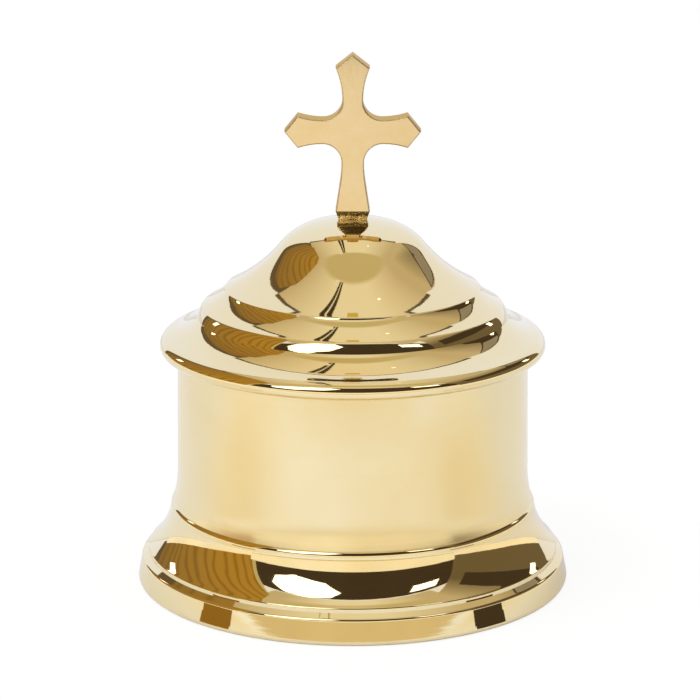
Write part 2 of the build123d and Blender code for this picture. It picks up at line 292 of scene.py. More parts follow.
@titled
class PyxFixingSizes(PropertyGroup):
    """Sizes of the stud, nut, screw and washers."""

    stud_radius: size(3.0, "Outer radius of the stud's thread")
    stud_length: size(10.0, "Length of the stud")
    stud_pitch: size(1.0, "Pitch of the stud's thread")
    nut_flats: size(10.0, "Width of the nut across its flats")
    nut_height: size(5.0, "Height of the nut")
    nut_bore: size(3.05, "Radius of the nut's bore")
    washer_radius: size(11.0, "Outer radius of the washer under the foot's web")
    washer_thickness: size(1.2, "Thickness of the washer under the foot's web")
    washer_bore: size(3.2, "Radius of the washer's hole")
    screw_radius: size(1.25, "Outer radius of the screw's thread")
    screw_grip: size(6.0, "How far the screw reaches above the crown")
    screw_pitch: size(0.45, "Pitch of the screw's thread")
    head_radius: size(2.5, "Radius of the screw's head")
    head_height: size(1.6, "Height of the screw's head")
    slot_width: size(0.7, "Width of the slot in the screw's head")
    slot_depth: size(0.8, "Depth of the slot in the screw's head")
    cup_radius: size(4.5, "Outer radius of the washer under the crown")
    cup_thickness: size(1.2, "Thickness of the washer under the crown")
    edge_round: size(0.15, "Rounding of the fixings' edges")


@titled
class PyxFinishes(PropertyGroup):
    """Colours and finishes of the metal."""

    gilt: colour((0.87, 0.72, 0.41), "Polished gilding")
    warm_gilt: colour((0.86, 0.66, 0.32), "Gilding where it is thicker")
    satin: colour((0.77, 0.62, 0.385), "Satin gilding on the cross")
    warm_satin: colour((0.74, 0.555, 0.275), "Darker tone of the satin gilding")
    # Dark tone of the pits in the cross's foot, and of the painted shade at the foot's top.
    pit_and_shade_gilt: colour((0.17, 0.11, 0.03), "Dark tone in the pits of the cross's foot")
    brass: colour((0.62, 0.45, 0.19), "Plain brass fixings")
    dull_brass: colour((0.42, 0.29, 0.12), "Brass where it has dulled")
    lid_roughness: share(0.035, "Roughness of the lid, foot and bezel")
    drum_roughness: share(0.2, "Roughness of the drum")
    cross_roughness: share(0.12, "Roughness of the cross")
    brass_roughness: share(0.3, "Roughness of the brass fixings")


@titled
class PyxStageSettings(PropertyGroup):
    """The floor, the light, the cards that the metal mirrors, and the camera."""

    floor_colour: colour((0.97, 0.97, 0.965), "Floor")
    floor_speck: colour((0.85, 0.85, 0.84), "Floor's faint specks")
    cool_floor: colour((0.86, 0.90, 1.0), "Floor in front, as the metal mirrors it")
    back_floor: colour((0.77, 0.80, 0.89), "Floor behind, as the metal mirrors it")
    # Painted warm bounce light and shade from the gilding, seen only in the metal's reflections.
    painted_bounce_floor: colour((0.80, 0.73, 0.58), "Floor beside the gilding, which tints it")
    back_white: colour((0.93, 1.0, 1.22), "Back of the white tent")
    ceiling: colour((0.90, 0.84, 0.70), "Tent's ceiling")
    ceiling_side: colour((0.62, 0.53, 0.37), "Ceiling towards its sides")
    # Tone of the painted shadow on the ceiling, also used for the front post.
    ceiling_front: colour((0.62, 0.53, 0.31), "Dim patch in the ceiling")
    dark: colour((0.065, 0.047, 0.03), "Openings in the tent")
    frame: colour((0.15, 0.11, 0.065), "Tent's frame")
    shade: colour((0.17, 0.135, 0.08), "Tent's right side")
    pane: colour((0.33, 0.30, 0.27), "What shows through the opening at the right")
    strap: colour((0.70, 0.50, 0.14), "A strap in the ceiling")
    wood: colour((0.47, 0.28, 0.055), "Board at the left")
    wood_grain: colour((0.33, 0.18, 0.03), "Board's grain")
    lip: colour((0.80, 0.67, 0.42), "Lowest card in front")
    hem: colour((1.16, 1.1, 0.98), "Pale hem at the foot of the tent")
    lamp_power: setting(FloatProperty, 2.0, "Power of the soft lamp above", min=0.0, unit="POWER")
    camera_place: setting(
        FloatVectorProperty, (-0.00059, -0.67683, 0.23495), "Where the camera stands", size=3,
        subtype="XYZ", unit="LENGTH")
    camera_pitch: angle(15.17, "How far the camera looks down")
    camera_lens: setting(FloatProperty, 164.65, "Focal length in millimetres", unit="CAMERA")
    segments: setting(IntProperty, 256, "Divisions round a turned piece", min=24)


def right_of(way):
    """The way to the right of a way in the half section."""
    return Vector((way.y, -way.x))


def downhill(slope):
    """The way down a slope, away from the axis."""
    return Vector((cos(slope), -sin(slope)))


def arc_centre(start, end, radius):
    """Centre of an arc between two points, clockwise where the radius is positive."""
    chord = end - start
    across = right_of(chord).normalized() * copysign(1, radius)
    return start + chord / 2 + across * sqrt(radius ** 2 - (chord.length / 2) ** 2)


def tangent_radius(along, aside):
    """Radius of an arc that leaves a line and comes to a point along it and aside from it."""
    return (along ** 2 + aside ** 2) / (2 * aside)


def points_in(geometry):
    """The points among parts of a mesh."""
    return [part for part in geometry if isinstance(part, bmesh.types.BMVert)]


def everything(mesh):
    """All points, edges and faces of a mesh."""
    return [*mesh.verts, *mesh.edges, *mesh.faces]


class Pen:
    """Draws a half section in the XZ plane of a new mesh, as one chain of edges."""

    def __init__(self, x, z, run=LONG_RUN):
        self.mesh = bmesh.new()
        self.run = run
        self.tip = self.mesh.verts.new((x, 0, z))
        self.heading = Vector((1, 0))

    def place(self):
        return Vector((self.tip.co.x, self.tip.co.z))

    def line(self, x, z, run=None):
        """Straight on to a point."""
        start, end = self.place(), Vector((x, z))
        for part in run or self.run:
            self.tip = bmesh.ops.extrude_vert_indiv(self.mesh, verts=[self.tip])["verts"][0]
            point = start.lerp(end, part)
            self.tip.co = (point.x, 0, point.y)
        self.heading = (end - start).normalized()

    def arc(self, centre, turn):
        """Round a centre, clockwise where the turn is positive, with X to the right and Z up."""
        centre = Vector(centre)
        radius = (self.place() - centre).length
        step = min(ARC_STEP, 2 * sqrt(2 * ARC_SAG / radius))
        made = bmesh.ops.spin(
            self.mesh, geom=[self.tip], cent=(centre.x, 0, centre.y), axis=(0, 1, 0),
            angle=turn, steps=max(2, ceil(abs(turn) / step)))
        self.tip = points_in(made["geom_last"])[0]
        spoke = (self.place() - centre).normalized()
        self.heading = right_of(spoke) * copysign(1, turn)

    def aim(self, slope):
        """Turns the pen down a slope, at a corner."""
        self.heading = downhill(slope)

    def bend(self, radius, turn):
        """An arc that carries on the way the pen is going, clockwise where the turn is positive."""
        self.arc(self.place() + right_of(self.heading) * copysign(radius, turn), turn)

    def land(self, x, z, slope):
        """An arc that ends at a point, going down a slope there."""
        chord = (Vector((x, z)) - self.place()).normalized()
        end = downhill(slope)
        self.heading = 2 * chord.dot(end) * chord - end
        self.sweep(x, z)

    def sweep(self, x, z):
        """An arc that carries on the way the pen is going and ends at a point."""
        start = self.place()
        chord = Vector((x, z)) - start
        across = right_of(self.heading)
        turn = 2 * atan2(chord.dot(across), chord.dot(self.heading))
        radius = chord.length / (2 * sin(turn / 2))
        self.arc(start + across * radius, turn)

    def curve(self, x, z, radius):
        """An arc of a radius to a point, clockwise where the radius is positive."""
        start, end = self.place(), Vector((x, z))
        self.arc(arc_centre(start, end, radius), 2 * asin((end - start).length / 2 / radius))

    def corners(self, *points):
        """Straight runs through corners, each given as X, Z and the radius that rounds it."""
        for number, (x, z, radius) in enumerate(points):
            corner = Vector((x, z))
            if radius == 0:
                self.line(x, z)
                continue
            back = (self.place() - corner).normalized()
            onward = (Vector(points[number + 1][:2]) - corner).normalized()
            cut = radius / tan(back.angle(onward) / 2)
            self.line(*(corner + back * cut))
            self.sweep(*(corner + onward * cut))


def inner_corners(places, sheet):
    """Corners that lie a sheet's thickness left of a chain of places, each with its radius."""
    runs = [(after - before).normalized() for before, after in zip(places, places[1:])]
    lefts = [-right_of(run) for run in runs]
    moved = [(*(places[0] + lefts[0] * sheet), 0)]
    for number in range(1, len(runs)):
        before, after = lefts[number - 1], lefts[number]
        shift = (before + after) * sheet / (1 + before.dot(after))
        turns_right = runs[number - 1].cross(runs[number]) < 0
        moved.append((*(places[number] + shift), sheet if turns_right else 0))
    moved.append((*(places[-1] + lefts[-1] * sheet), 0))
    return moved


def close_up(mesh):
    """Merges doubled points and points all faces outwards."""
    bmesh.ops.remove_doubles(mesh, verts=mesh.verts, dist=MERGE_DISTANCE)
    bmesh.ops.recalc_face_normals(mesh, faces=mesh.faces)


def turn_round(mesh, segments):
    """Spins a half section a quarter of the way round the Z axis and mirrors it all round."""
    bmesh.ops.spin(
        mesh, geom=everything(mesh), cent=(0, 0, 0), axis=(0, 0, 1), angle=pi / 2,
        steps=segments // 4)
    for axis in "XY":
        bmesh.ops.mirror(mesh, geom=everything(mesh), axis=axis, merge_dist=MERGE_DISTANCE)
    close_up(mesh)


def bevel(mesh, edges, width, steps):
    """Bevels edges, round in section where there are several steps."""
    bmesh.ops.bevel(
        mesh, geom=edges, offset=width, offset_type="OFFSET", segments=steps, profile=0.5,
        affect="EDGES", material=-1, clamp_overlap=True)


def round_ring(mesh, place, width):
    """Rounds the ring of edges that a corner of the half section has left round a piece."""
    def off(vert):
        return (Vector((vert.co.xy.length, vert.co.z)) - place).length

    ring = [edge for edge in mesh.edges if max(map(off, edge.verts)) < MERGE_DISTANCE]
    if not ring:
        raise RuntimeError("no ring of edges at %s" % (tuple(place),))
    bevel(mesh, ring, width, RING_STEPS)


def soften(mesh, width):
    """Rounds every edge of a mesh that is sharp to the touch."""
    sharp = [
        edge for edge in mesh.edges
        if edge.is_manifold and edge.calc_face_angle() > SMOOTH_ANGLE]
    bevel(mesh, sharp, width, WEAR_STEPS)


def new_object(name, mesh, material):
    """Makes an object of a mesh and puts it in the scene."""
    data = bpy.data.meshes.new(name)
    mesh.to_mesh(data)
    mesh.free()
    data.materials.append(material)
    made = bpy.data.objects.new(name, data)
    bpy.context.scene.collection.objects.link(made)
    return made


def finished(name, mesh, material, body, node, smooth_angle=TURNED_SMOOTH_ANGLE):
    """Makes a piece of a mesh, which rides on a body and stands for a node of the solids."""
    piece = new_object(name, mesh, material)
    piece.data.shade_smooth()
    piece.data.set_sharp_from_angle(angle=smooth_angle)
    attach(piece, body)
    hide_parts(node)
    return piece


def thicken(piece, sheet):
    """Gives an open skin the thickness of its sheet, on its inner side."""
    wall = piece.modifiers.new("Sheet", "SOLIDIFY")
    wall.thickness = sheet
    wall.offset = -1
    wall.use_even_offset = True


def even_flats(piece):
    """Keeps the flat faces of a piece flat in the light, beside its small rounded edges."""
    piece.modifiers.new("Even flats", "WEIGHTED_NORMAL").keep_sharp = True


def thread_run(length, pitch):
    """Shares of a straight run at which it has the rows of points for a thread."""
    rows = ceil(length / pitch * THREAD_ROWS)
    return [(row + 1) / rows for row in range(rows)]


def cut_thread(mesh, radius, pitch, low, high):
    """Presses a helical thread into the upright wall of a turned piece between two heights."""
    for point in mesh.verts:
        x, y, z = point.co
        if abs(hypot(x, y) - radius) > MERGE_DISTANCE or not low < z < high:
            continue
        phase = (z / pitch - atan2(y, x) / tau) % 1
        groove = THREAD_DEPTH * pitch * abs(2 * phase - 1)
        point.co.xy *= 1 - groove / radius


def open_edges(mesh, axis, place):
    """Edges of a hole in a mesh that lie in a plane across an axis."""
    return [
        edge for edge in mesh.edges
        if edge.is_boundary
        and all(abs(vert.co["XYZ".index(axis)] - place) < MERGE_DISTANCE for vert in edge.verts)]


def cut_slot(mesh, width, low, depth):
    """Saws a straight slot through the lower end of a turned piece, along X."""
    side, top = width / 2, low + depth
    for place, normal in (
            ((0, side, 0), (0, 1, 0)), ((0, -side, 0), (0, 1, 0)), ((0, 0, top), (0, 0, 1))):
        bmesh.ops.bisect_plane(
            mesh, geom=everything(mesh), dist=MERGE_DISTANCE, plane_co=place, plane_no=normal)
    middles = [(face, face.calc_center_median()) for face in mesh.faces]
    waste = [face for face, middle in middles if abs(middle.y) < side and middle.z < top]
    bmesh.ops.delete(mesh, geom=waste, context="FACES")
    bmesh.ops.bridge_loops(mesh, edges=open_edges(mesh, "Z", top))
    for wall in (-side, side):
        bmesh.ops.edgeloop_fill(mesh, edges=open_edges(mesh, "Y", wall))
    close_up(mesh)


class Shading:
    """Adds and links the nodes of one material or world."""

    def __init__(self, tree):
        self.tree = tree
        tree.nodes.clear()

    def node(self, kind, sockets, **settings):
        """Adds a node and gives its outputs."""
        made = self.tree.nodes.new("ShaderNode" + kind)
        for key, value in settings.items():
            setattr(made, key, value)
        for key, value in sockets.items():
            socket = made.inputs[key]
            if isinstance(value, bpy.types.NodeSocket):
                self.tree.links.new(value, socket)
            elif socket.type == "RGBA":
                socket.default_value = (*value, 1)
            else:
                socket.default_value = value
        return made.outputs

    def mix(self, factor, first, second):
        """A colour between two colours."""
        sockets = {MIX_FACTOR: factor, MIX_FIRST: first, MIX_SECOND: second}
        return self.node("Mix", sockets, data_type="RGBA")[MIX_RESULT]

    def math(self, operation, first, second=0.0):
        return self.node("Math", {0: first, 1: second}, operation=operation)[0]

    def spread(self, value, source, target=(0.0, 1.0)):
        """Maps a range of a value on to another range, and no further."""
        return self.node("MapRange", {
            "Value": value, "From Min": source[0], "From Max": source[1],
            "To Min": target[0], "To Max": target[1]})["Result"]

    def noise(self, vector, scale, detail=3.0, roughness=0.55, distortion=0.0):
        return self.node("TexNoise", {
            "Vector": vector, "Scale": scale, "Detail": detail, "Roughness": roughness,
            "Distortion": distortion})["Fac"]

    def place(self):
        return self.node("TexCoord", {})["Object"]

    def axes(self, vector):
        """X, Y and Z of a vector."""
        return self.node("SeparateXYZ", {"Vector": vector})

    def length(self, vector):
        return self.node("VectorMath", {0: vector}, operation="LENGTH")["Value"]

    def lathe_place(self):
        """Radius and height of a point, on which a pattern runs round the piece in rings."""
        axes = self.axes(self.place())
        flat = self.node("CombineXYZ", {"X": axes["X"], "Y": axes["Y"]})[0]
        return self.node("CombineXYZ", {"X": self.length(flat), "Z": axes["Z"]})[0]

    def stretched_place(self, scale):
        return self.node("Mapping", {"Vector": self.place(), "Scale": scale})["Vector"]

    def metal(self, tone, roughness, height, bump, depth, brushed=0.0, edge=WHITE):
        """A metal surface with a fine relief, brushed or not, and its tint at a glance."""
        relief = self.node("Bump", {"Strength": bump, "Distance": depth, "Height": height})
        surface = self.node("BsdfPrincipled", {
            "Base Color": tone, "Metallic": 1.0, "Roughness": roughness, "Anisotropic": brushed,
            "Anisotropic Rotation": BRUSH_TURN, "Specular Tint": edge, "Normal": relief["Normal"]})
        self.node("OutputMaterial", {"Surface": surface["BSDF"]})

    def emit(self, tone, strength=1.0):
        """A surface that gives off light."""
        light = self.node("Emission", {"Color": tone, "Strength": strength})
        self.node("OutputMaterial", {"Surface": light[0]})


def new_material(name):
    material = bpy.data.materials.new(name)
    material.use_nodes = True
    return material, Shading(material.node_tree)


def scaled(values, factor):
    """Values times a factor."""
    return [factor * value for value in values]


def spun_gilt(name, finishes, roughness, ring_bump=0.0, brushed=0.0):
    """Polished gilding on spun brass: faint turning rings and soft warm smudges."""
    material, shading = new_material(name)
    rings = shading.noise(shading.lathe_place(), SPUN_RINGS, detail=4.0, roughness=0.6)
    smudges = shading.noise(shading.place(), SPUN_SMUDGES, roughness=0.5, distortion=0.6)
    warmth = shading.spread(smudges, (0.42, 0.75), (0.0, 0.8))
    tone = shading.mix(warmth, finishes.gilt, finishes.warm_gilt)
    gloss = shading.math(
        "MULTIPLY", shading.spread(smudges, (0.3, 0.75), scaled(SMUDGE_GLOSS, roughness)),
        shading.spread(rings, NOISE_SPAN, RING_GLOSS))
    shading.metal(tone, gloss, rings, ring_bump, GILT_RELIEF, brushed)
    return material


def satin_gilt(finishes, foot_top):
    """Fine upright satin on the cross, worn at its edges, whose foot is rough from casting and has
    painted shade, dark at its top and light at its bottom.
    """
    material, shading = new_material("cross_gilt")
    height = shading.math("SUBTRACT", shading.axes(shading.place())["Z"], foot_top)
    cast = shading.spread(height, CAST_END, FALL)
    pits = shading.noise(shading.place(), CAST_PITS, detail=2.0, roughness=0.5)
    # Painted light and shade on the foot: darker towards its top, lighter towards its bottom.
    shadow = shading.spread(height, CAST_SHADE, (-0.3, 0.16))
    bright = shading.spread(shading.math("SUBTRACT", pits, shadow), (0.42, 0.54))
    grain = shading.noise(shading.stretched_place(SATIN_GRAIN), 1.0, detail=4.0, roughness=0.65)
    clouds = shading.noise(shading.place(), SATIN_CLOUDS, detail=5.0, roughness=0.7)
    cloudy = shading.spread(clouds, NOISE_SPAN, (0.0, 0.8))
    tone = shading.mix(
        cast, shading.mix(cloudy, finishes.satin, finishes.warm_satin),
        shading.mix(bright, finishes.pit_and_shade_gilt, finishes.gilt))
    facing = shading.axes(shading.node("TexCoord", {})["Normal"])["Y"]
    across = shading.math("POWER", shading.math("ABSOLUTE", facing), 2.0)
    tilt = shading.math("SUBTRACT", shading.math("MULTIPLY", across, 2.0), 1.0)
    worn = shading.spread(shading.math("ABSOLUTE", tilt), WEAR_SPAN, WEAR_GLOSS)
    fine = shading.spread(grain, (0.25, 0.75), scaled(GRAIN_GLOSS, finishes.cross_roughness))
    gloss = shading.math("ADD", fine, worn)
    pitting = shading.math("MULTIPLY", shading.math("MULTIPLY", pits, cast), PIT_DEPTH)
    relief = shading.math("ADD", grain, pitting)
    bump = shading.spread(cast, (0.0, 1.0), SATIN_BUMP)
    shading.metal(tone, gloss, relief, bump, GILT_RELIEF, edge=finishes.warm_satin)
    return material


def plain_brass(finishes):
    """Turned brass without gilding, dulled in patches."""
    material, shading = new_material("turned_brass")
    rings = shading.noise(shading.lathe_place(), BRASS_RINGS)
    patches = shading.noise(shading.place(), BRASS_PATCHES, detail=4.0, roughness=0.6)
    tone = shading.mix(shading.spread(patches, (0.4, 0.7)), finishes.brass, finishes.dull_brass)
    gloss = shading.spread(patches, NOISE_SPAN, scaled(PATCH_GLOSS, finishes.brass_roughness))
    shading.metal(tone, gloss, rings, bump=0.25, depth=BRASS_RELIEF)
    return material


def finish(name):
    """A finish of the metal by name, made when it is first asked for."""
    made = bpy.data.materials.get(name)
    if made:
        return made
    scene = bpy.context.scene
    finishes = scene.pyx_finishes
    if name == "spun_gilt":
        return spun_gilt(name, finishes, finishes.lid_roughness, ring_bump=0.05)
    if name == "drum_gilt":
        return spun_gilt(name, finishes, finishes.drum_roughness, brushed=0.3)
    if name == "cross_gilt":
        return satin_gilt(finishes, crown_height(scene) + scene.pyx_cross.foot_height)
    return plain_brass(finishes)


def crown_height(scene):
    """Height of the lid's crown above the table."""
    return scene.pyx_drum.mouth_height + scene.pyx_lid.height


class PYX_OT_drum(Operator):
    """Spin the drum: a cup with a flared wall"""

    bl_idname = "pyx.drum"
    bl_label = "Drum"

    def execute(self, context):
        sizes = context.scene.pyx_drum
        low, top, sheet = sizes.floor_height, sizes.mouth_height, sizes.sheet
        wall_foot = sizes.mouth_radius + sizes.taper
        flare_top = low + sizes.flare_height
        bend = tangent_radius(sizes.flare_height, sizes.flare)
        corner_z = low + sheet + sizes.floor_round
        reach = bend + sheet + sizes.floor_round
        lean = asin((flare_top - corner_z) / reach)
        pen = Pen(0, low)
        pen.line(wall_foot + sizes.flare, low)
        pen.curve(wall_foot, flare_top, bend)
        pen.corners(
            (sizes.mouth_radius, top, sizes.lip_round),
            (sizes.mouth_radius - sheet, top, sizes.lip_round),
            (wall_foot - sheet, flare_top, 0))
        pen.arc((wall_foot + bend, flare_top), -lean)
        pen.arc((wall_foot + bend - reach * cos(lean), corner_z), pi / 2 + lean)
        pen.line(0, low + sheet)
        turn_round(pen.mesh, context.scene.pyx_stage.segments)
        finished("spun_drum", pen.mesh, finish("drum_gilt"), "base", "drum")
        return {"FINISHED"}


class PYX_OT_foot(Operator):
    """Spin the foot: band, bevel, step, cove and lip, with its edge turned in below"""

    bl_idname = "pyx.foot"
    bl_label = "Foot"

    def execute(self, context):
        sizes, drum = context.scene.pyx_foot, context.scene.pyx_drum
        top, sheet = drum.floor_height, sizes.sheet
        seat = drum.mouth_radius + drum.taper + drum.flare
        rim = Vector((sizes.radius, 0))
        band_top = rim + Vector((-sizes.band_lean, sizes.band_height))
        bevel_top = band_top + Vector((-sizes.bevel_width, sizes.bevel_height))
        step_top = bevel_top + Vector((0, sizes.step_height))
        lip_bottom = Vector((seat + sizes.lip_width, top - sizes.lip_height))
        inner_edge = sizes.radius - sheet - sizes.turned_in

        pen = Pen(inner_edge, 0)
        pen.corners((*rim, sizes.edge_round), (*band_top, sizes.band_round), (*bevel_top, 0))
        pen.line(*step_top, PLAIN_RUN)
        pen.curve(*lip_bottom, sizes.cove_radius)
        pen.curve(seat, top, -sizes.lip_radius)

        under_rim, under_band, under_bevel, under_step = inner_corners(
            (rim, band_top, bevel_top, step_top), sheet)
        centre = arc_centre(step_top, lip_bottom, sizes.cove_radius)
        hollow = sizes.cove_radius + sheet
        cove_top = centre + (lip_bottom - centre) * hollow / sizes.cove_radius
        cove_low = centre.y - sqrt(hollow ** 2 - (centre.x - under_step[0]) ** 2)
        fold, band = Vector(under_rim[:2]), Vector(under_band[:2])
        fold = fold.lerp(band, (sheet - fold.y) / (band.y - fold.y))
        pen.corners(
            (sizes.hole_radius, top, 0),
            (sizes.hole_radius, top - sheet, 0),
            (cove_top.x, top - sheet, 0))
        pen.line(*cove_top, PLAIN_RUN)
        pen.curve(under_step[0], cove_low, -hollow)
        pen.corners(
            under_bevel, under_band, (*fold, 0), (inner_edge, sheet, 0), (inner_edge, 0, 0))
        turn_round(pen.mesh, context.scene.pyx_stage.segments)
        round_ring(pen.mesh, step_top, sizes.step_ease)
        finished("spun_foot", pen.mesh, finish("spun_gilt"), "base", "foot")
        return {"FINISHED"}


class PYX_OT_lid(Operator):
    """Spin the lid: crown, dome, two steps and a rounded rim that is turned in below"""

    bl_idname = "pyx.lid"
    bl_label = "Lid"

    def execute(self, context):
        sizes = context.scene.pyx_lid
        seat = context.scene.pyx_drum.mouth_height
        rim_edge = Vector((sizes.rim_radius - sizes.rim_inset, seat + sizes.rim_height))
        lower_foot = rim_edge + Vector((-sizes.ledge_width, sizes.ledge_rise))
        lower_corner = lower_foot + Vector((-sizes.lower_inset, sizes.lower_rise))
        upper_foot = lower_corner + Vector((-sizes.slope_width, sizes.slope_rise))
        upper_corner = upper_foot + Vector((-sizes.upper_inset, sizes.upper_rise))
        bulge = sizes.rim_side_angle
        side_top = Vector((sizes.rim_radius, seat + sizes.rim_round))
        side_top += sizes.rim_side_radius * Vector((cos(bulge) - 1, sin(bulge)))
        hole_slope = asin(sizes.hole_radius / sizes.crown_radius)
        crown_drop = sizes.crown_radius * (1 - cos(hole_slope))

        pen = Pen(sizes.hole_radius, seat + sizes.height - crown_drop)
        pen.aim(hole_slope)
        pen.bend(sizes.crown_radius, sizes.crown_angle - hole_slope)
        pen.bend(sizes.shoulder_radius, sizes.shoulder_angle - sizes.crown_angle)
        pen.sweep(*upper_corner)
        pen.line(*upper_foot, PLAIN_RUN)
        pen.aim(sizes.slope_angle)
        pen.bend(sizes.slope_bend_radius, -sizes.slope_bend_angle)
        pen.sweep(*lower_corner)
        pen.aim(sizes.lower_angle)
        pen.sweep(*lower_foot)
        pen.aim(sizes.ledge_angle)
        pen.bend(sizes.ledge_bend_radius, -sizes.ledge_bend_angle)
        pen.sweep(*rim_edge)
        pen.land(*side_top, pi / 2 - bulge)
        pen.bend(sizes.rim_side_radius, bulge)
        pen.bend(sizes.rim_round, pi / 2)
        pen.line(sizes.bezel_radius, seat)
        turn_round(pen.mesh, context.scene.pyx_stage.segments)
        for corner in (upper_corner, lower_corner):
            round_ring(pen.mesh, corner, sizes.corner_ease)
        lid = finished(
            "stepped_lid", pen.mesh, finish("spun_gilt"), "lid", "lid_shell")
        thicken(lid, sizes.sheet)
        return {"FINISHED"}


class PYX_OT_bezel(Operator):
    """Turn the plain ring that centres the lid in the drum"""

    bl_idname = "pyx.bezel"
    bl_label = "Bezel"

    def execute(self, context):
        sizes = context.scene.pyx_lid
        seat = context.scene.pyx_drum.mouth_height
        outer, inner = sizes.bezel_radius, sizes.bezel_radius - sizes.bezel_sheet
        low, high = seat - sizes.bezel_depth, seat + sizes.sheet
        lead, ease = sizes.bezel_lead_in, sizes.bezel_sheet * BEZEL_EASE
        pen = Pen(inner, low + lead)
        pen.corners(
            (inner, high, ease),
            (outer, high, ease),
            (outer, low + lead, ease),
            (outer - lead, low, ease),
            (inner, low, ease),
            (inner, low + lead, 0))
        turn_round(pen.mesh, context.scene.pyx_stage.segments)
        finished("lid_ring", pen.mesh, finish("spun_gilt"), "lid", "lid_bezel")
        return {"FINISHED"}


class PYX_OT_cross(Operator):
    """Cut out the cross, bevel its edges and draw down its tapered foot"""

    bl_idname = "pyx.cross"
    bl_label = "Cross"

    def execute(self, context):
        sizes = context.scene.pyx_cross
        crown_z = crown_height(context.scene)
        stem_low = crown_z + sizes.foot_height
        mesh = self.draw_half(sizes, crown_z + sizes.axis_height, stem_low)
        bmesh.ops.mirror(mesh, geom=everything(mesh), axis="X", merge_dist=MERGE_DISTANCE)
        bmesh.ops.remove_doubles(mesh, verts=mesh.verts, dist=MERGE_DISTANCE)
        front = bmesh.ops.contextual_create(mesh, geom=mesh.edges[:])["faces"]
        back = points_in(bmesh.ops.extrude_face_region(mesh, geom=front)["geom"])
        bmesh.ops.translate(mesh, verts=back, vec=(0, sizes.thickness, 0))
        bmesh.ops.translate(mesh, verts=mesh.verts, vec=(0, -sizes.thickness / 2, 0))
        close_up(mesh)

        rims = [
            edge for edge in mesh.edges
            if abs(edge.verts[0].co.y - edge.verts[1].co.y) < MERGE_DISTANCE
            and max(vert.co.z for vert in edge.verts) > stem_low + MERGE_DISTANCE]
        bevel(mesh, rims, sizes.bevel, steps=1)
        self.draw_foot(mesh, sizes, context.scene.pyx_lid.crown_radius, crown_z, stem_low)
        soften(mesh, sizes.edge_wear)
        close_up(mesh)
        even_flats(finished(
            "flat_cross", mesh, finish("cross_gilt"), "lid", "cross_finial",
            SMOOTH_ANGLE))
        return {"FINISHED"}

    def draw_half(self, sizes, axis, stem_low):
        """Right half of the outline, from the top point down to the end of the stem."""
        top, arm, stem = sizes.top_waist / 2, sizes.arm_waist / 2, sizes.stem_waist / 2
        top_corner = (sizes.top_end / 2, axis + sizes.top_length - sizes.point)
        top_low = axis + arm + sizes.crotch
        corner_x = sizes.arm_length - sizes.point
        arm_end = sizes.arm_end / 2
        arm_root = stem + sizes.crotch
        stem_top = axis - arm - sizes.crotch
        pen = Pen(0, axis + sizes.top_length, PLAIN_RUN)
        pen.line(*top_corner)
        pen.curve(top, top_low, -tangent_radius(top_corner[1] - top_low, top_corner[0] - top))
        pen.sweep(top + sizes.crotch, axis + arm)
        pen.sweep(corner_x, axis + arm_end)
        pen.line(sizes.arm_length, axis)
        pen.line(corner_x, axis - arm_end)
        pen.curve(arm_root, axis - arm, -tangent_radius(corner_x - arm_root, arm_end - arm))
        pen.sweep(stem, stem_top)
        pen.corners(
            (stem, stem_top - sizes.bend_drop, sizes.bend_radius),
            (sizes.stem_end / 2, stem_low, 0),
            (0, stem_low, 0))
        return pen.mesh

    def draw_foot(self, mesh, sizes, crown_radius, crown_z, stem_low):
        """Draws the underside of the stem down to the crown and narrows it on the way."""
        under = [
            face for face in mesh.faces
            if face.calc_center_median().z < stem_low + MERGE_DISTANCE]
        low = points_in(bmesh.ops.extrude_face_region(mesh, geom=under)["geom"])
        bmesh.ops.delete(mesh, geom=under, context="FACES")
        narrow = [1 - 2 * sizes.foot_inset / width for width in (sizes.stem_end, sizes.thickness)]
        bmesh.ops.scale(mesh, verts=low, vec=(*narrow, 1))
        for vert in low:
            away = hypot(vert.co.x, vert.co.y)
            vert.co.z = crown_z - crown_radius + sqrt(crown_radius ** 2 - away ** 2)


